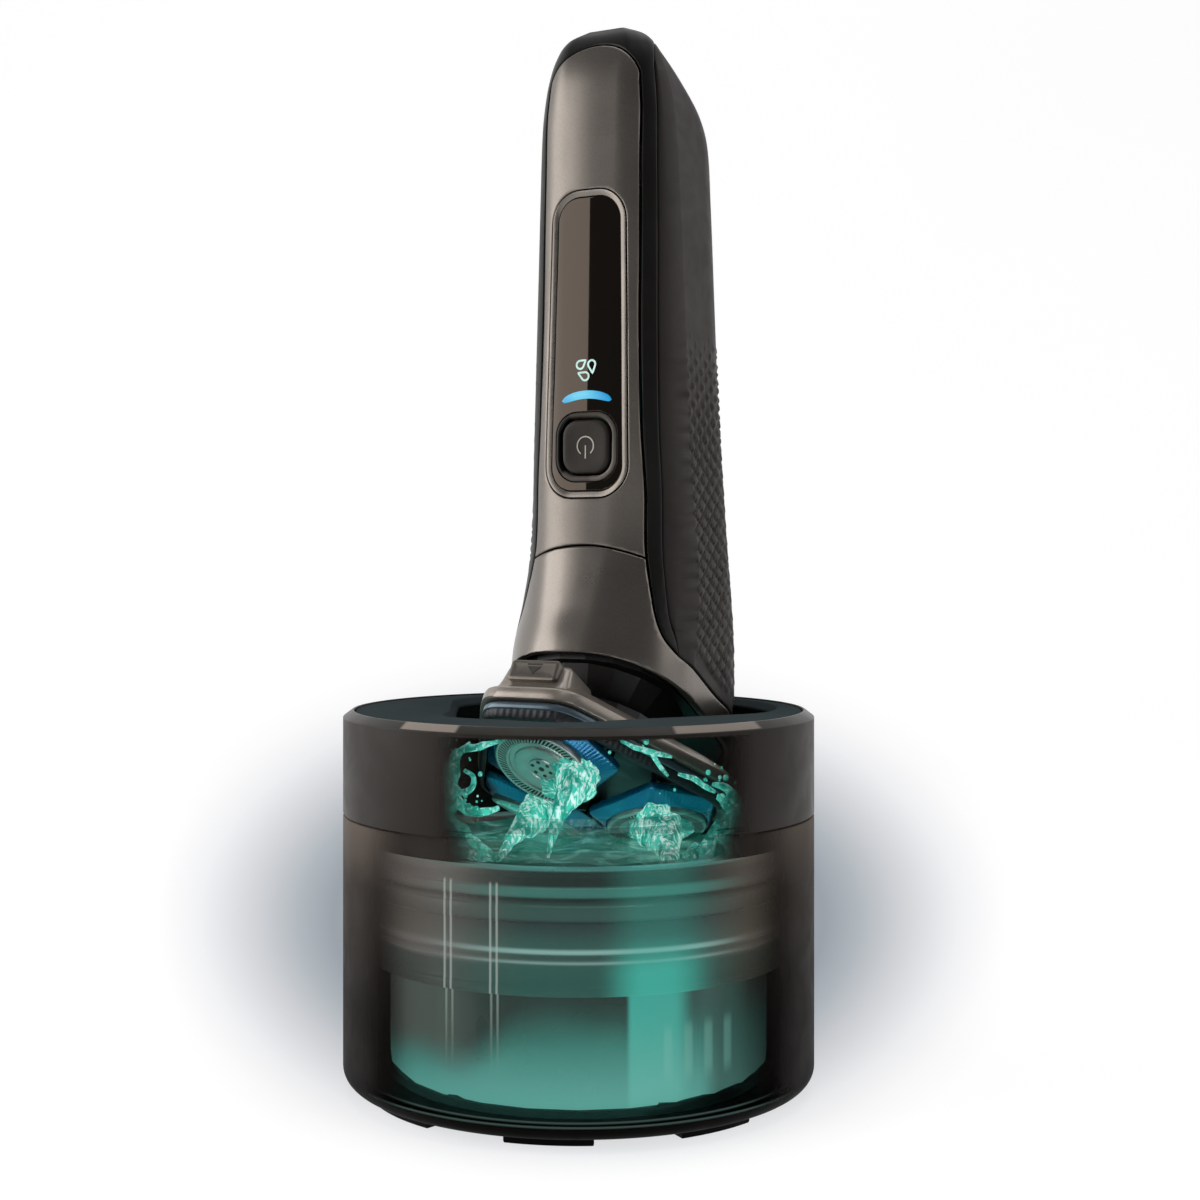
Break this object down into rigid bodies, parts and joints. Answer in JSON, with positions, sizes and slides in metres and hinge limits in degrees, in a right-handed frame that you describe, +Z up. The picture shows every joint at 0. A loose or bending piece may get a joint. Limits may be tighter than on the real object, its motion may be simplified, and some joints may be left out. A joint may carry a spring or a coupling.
{
  "type": "rotary electric shaver with cleaning pod",
  "caption": "Cordless rotary shaver with a tall display handle, standing head down in a round see-through cleaning pod that holds a fluid cartridge.",
  "frame": {"origin": "on the floor at the middle of the cleaning pod's round base", "axes": "+Z up along the handle, -Y towards the shaver's display, X across its width"},
  "size_m": [0.095, 0.095, 0.2163],
  "materials": {
    "housing_smoked": "dark smoked, polished",
    "top_dark": "dark blue-grey, satin",
    "clear_plastic": "clear moulded",
    "seal_rubber": "matte",
    "cleaning_fluid": "teal liquid",
    "bronze_lacquer": "metallic bronze lacquer",
    "silver_trim": "satin chrome",
    "black_gloss": "piano black",
    "grip_rubber": "fine textured grip",
    "blue_band": "metallic blue",
    "blade_steel": "turned steel",
    "light_blue": "lit translucent",
    "nylon": "moulded nylon",
    "board_green": "solder mask",
    "cell_wrap": "shrink sleeve"
  },
  "bodies": {
    "pod_base": {"base_housing": "housing_smoked", "cartridge_cup": "clear_plastic", "cartridge_lid": "clear_plastic", "standpipe": "clear_plastic", "cartridge_filter": "clear_plastic", "cleaning_fluid": "cleaning_fluid"},
    "pod_top": {"upper_housing": "housing_smoked", "top_plate": "top_dark", "cleaning_bowl": "clear_plastic", "bowl_seal": "seal_rubber"},
    "shaver": {"front_panel": "bronze_lacquer", "side_band": "black_gloss", "back_grip": "grip_rubber", "neck_cover": "bronze_lacquer", "neck_base": "black_gloss", "display_surround": "silver_trim", "display_glass": "black_gloss", "light_arc": "light_blue", "button_frame": "black_gloss", "circuit_board": "board_green", "button_switch": "silver_trim", "battery": "cell_wrap", "inner_frame": "nylon", "charging_socket": "black_gloss", "motor_can": "blade_steel", "unit_bezel": "bronze_lacquer", "gear_plate": "nylon", "hair_chamber": "blue_band"},
    "power_button": {"power_button": "black_gloss"},
    "release_button": {"release_button": "bronze_lacquer"},
    "drive_shaft": {"motor_rotor": "blade_steel", "central_gear": "nylon"},
    "drive_gear_1": {"drive_gear_1": "nylon"},
    "head_1": {"head_pod_1": "blue_band", "shaving_cap_1": "silver_trim"},
    "cutter_1": {"cutter_1": "blade_steel"},
    "drive_gear_2": {"drive_gear_2": "nylon"},
    "head_2": {"head_pod_2": "blue_band", "shaving_cap_2": "silver_trim"},
    "cutter_2": {"cutter_2": "blade_steel"},
    "drive_gear_3": {"drive_gear_3": "nylon"},
    "head_3": {"head_pod_3": "blue_band", "shaving_cap_3": "silver_trim"},
    "cutter_3": {"cutter_3": "blade_steel"}
  },
  "joints": [
    {"name": "pod_top_lift", "type": "slide", "parent": "pod_base", "child": "pod_top", "axis": [0, 0, 1], "range_m": [0, 0.06]},
    {"name": "shaver_lift", "type": "slide", "parent": "pod_top", "child": "shaver", "axis": [0, 0, 1], "range_m": [0, 0.06]},
    {"name": "power_button_press", "type": "slide", "parent": "shaver", "child": "power_button", "axis": [0, 1, 0], "range_m": [0, 0.0005], "stiffness_N_per_m": 600, "springref_m": -0.001},
    {"name": "release_button_press", "type": "slide", "parent": "shaver", "child": "release_button", "axis": [0, 0.848, -0.5299], "range_m": [0, 0.0008], "stiffness_N_per_m": 500, "springref_m": -0.001},
    {"name": "drive_shaft_spin", "type": "hinge", "parent": "shaver", "child": "drive_shaft", "pos_m": [0, 0.0154, 0.08144], "axis": [0, 0.5299, 0.848], "continuous": true},
    {"name": "drive_gear_1_spin", "type": "hinge", "parent": "shaver", "child": "drive_gear_1", "pos_m": [0, -0.00683, 0.07375], "axis": [0, 0.5299, 0.848], "continuous": true},
    {"name": "head_1_tilt", "type": "hinge", "parent": "shaver", "child": "head_1", "pos_m": [0, -0.00946, 0.06953], "axis": [1, 0, 0], "range_deg": [-4, 4], "stiffness_Nm_per_rad": 0.02},
    {"name": "cutter_1_spin", "type": "hinge", "parent": "head_1", "child": "cutter_1", "pos_m": [0, -0.01243, 0.06686], "axis": [0, 0.7431, 0.6691], "continuous": true},
    {"name": "drive_gear_2_spin", "type": "hinge", "parent": "shaver", "child": "drive_gear_2", "pos_m": [0.01279, 0.01196, 0.06201], "axis": [0, 0.5299, 0.848], "continuous": true},
    {"name": "head_2_tilt", "type": "hinge", "parent": "shaver", "child": "head_2", "pos_m": [0.01279, 0.00933, 0.05779], "axis": [-0.5, 0.7344, -0.4589], "range_deg": [-4, 4], "stiffness_Nm_per_rad": 0.02},
    {"name": "cutter_2_spin", "type": "hinge", "parent": "head_2", "child": "cutter_2", "pos_m": [0.01375, 0.00776, 0.05424], "axis": [-0.2387, 0.3925, 0.8882], "continuous": true},
    {"name": "drive_gear_3_spin", "type": "hinge", "parent": "shaver", "child": "drive_gear_3", "pos_m": [-0.01279, 0.01196, 0.06201], "axis": [0, 0.5299, 0.848], "continuous": true},
    {"name": "head_3_tilt", "type": "hinge", "parent": "shaver", "child": "head_3", "pos_m": [-0.01279, 0.00933, 0.05779], "axis": [-0.5, -0.7344, 0.4589], "range_deg": [-4, 4], "stiffness_Nm_per_rad": 0.02},
    {"name": "cutter_3_spin", "type": "hinge", "parent": "head_3", "child": "cutter_3", "pos_m": [-0.01375, 0.00776, 0.05424], "axis": [0.2387, 0.3925, 0.8882], "continuous": true}
  ],
  "couplings": [
    {"joint": "drive_gear_1_spin", "follows": "drive_shaft_spin", "ratio": -0.75},
    {"joint": "cutter_1_spin", "follows": "drive_shaft_spin", "ratio": -0.75},
    {"joint": "drive_gear_2_spin", "follows": "drive_shaft_spin", "ratio": -0.75},
    {"joint": "cutter_2_spin", "follows": "drive_shaft_spin", "ratio": -0.75},
    {"joint": "drive_gear_3_spin", "follows": "drive_shaft_spin", "ratio": -0.75},
    {"joint": "cutter_3_spin", "follows": "drive_shaft_spin", "ratio": -0.75}
  ]
}
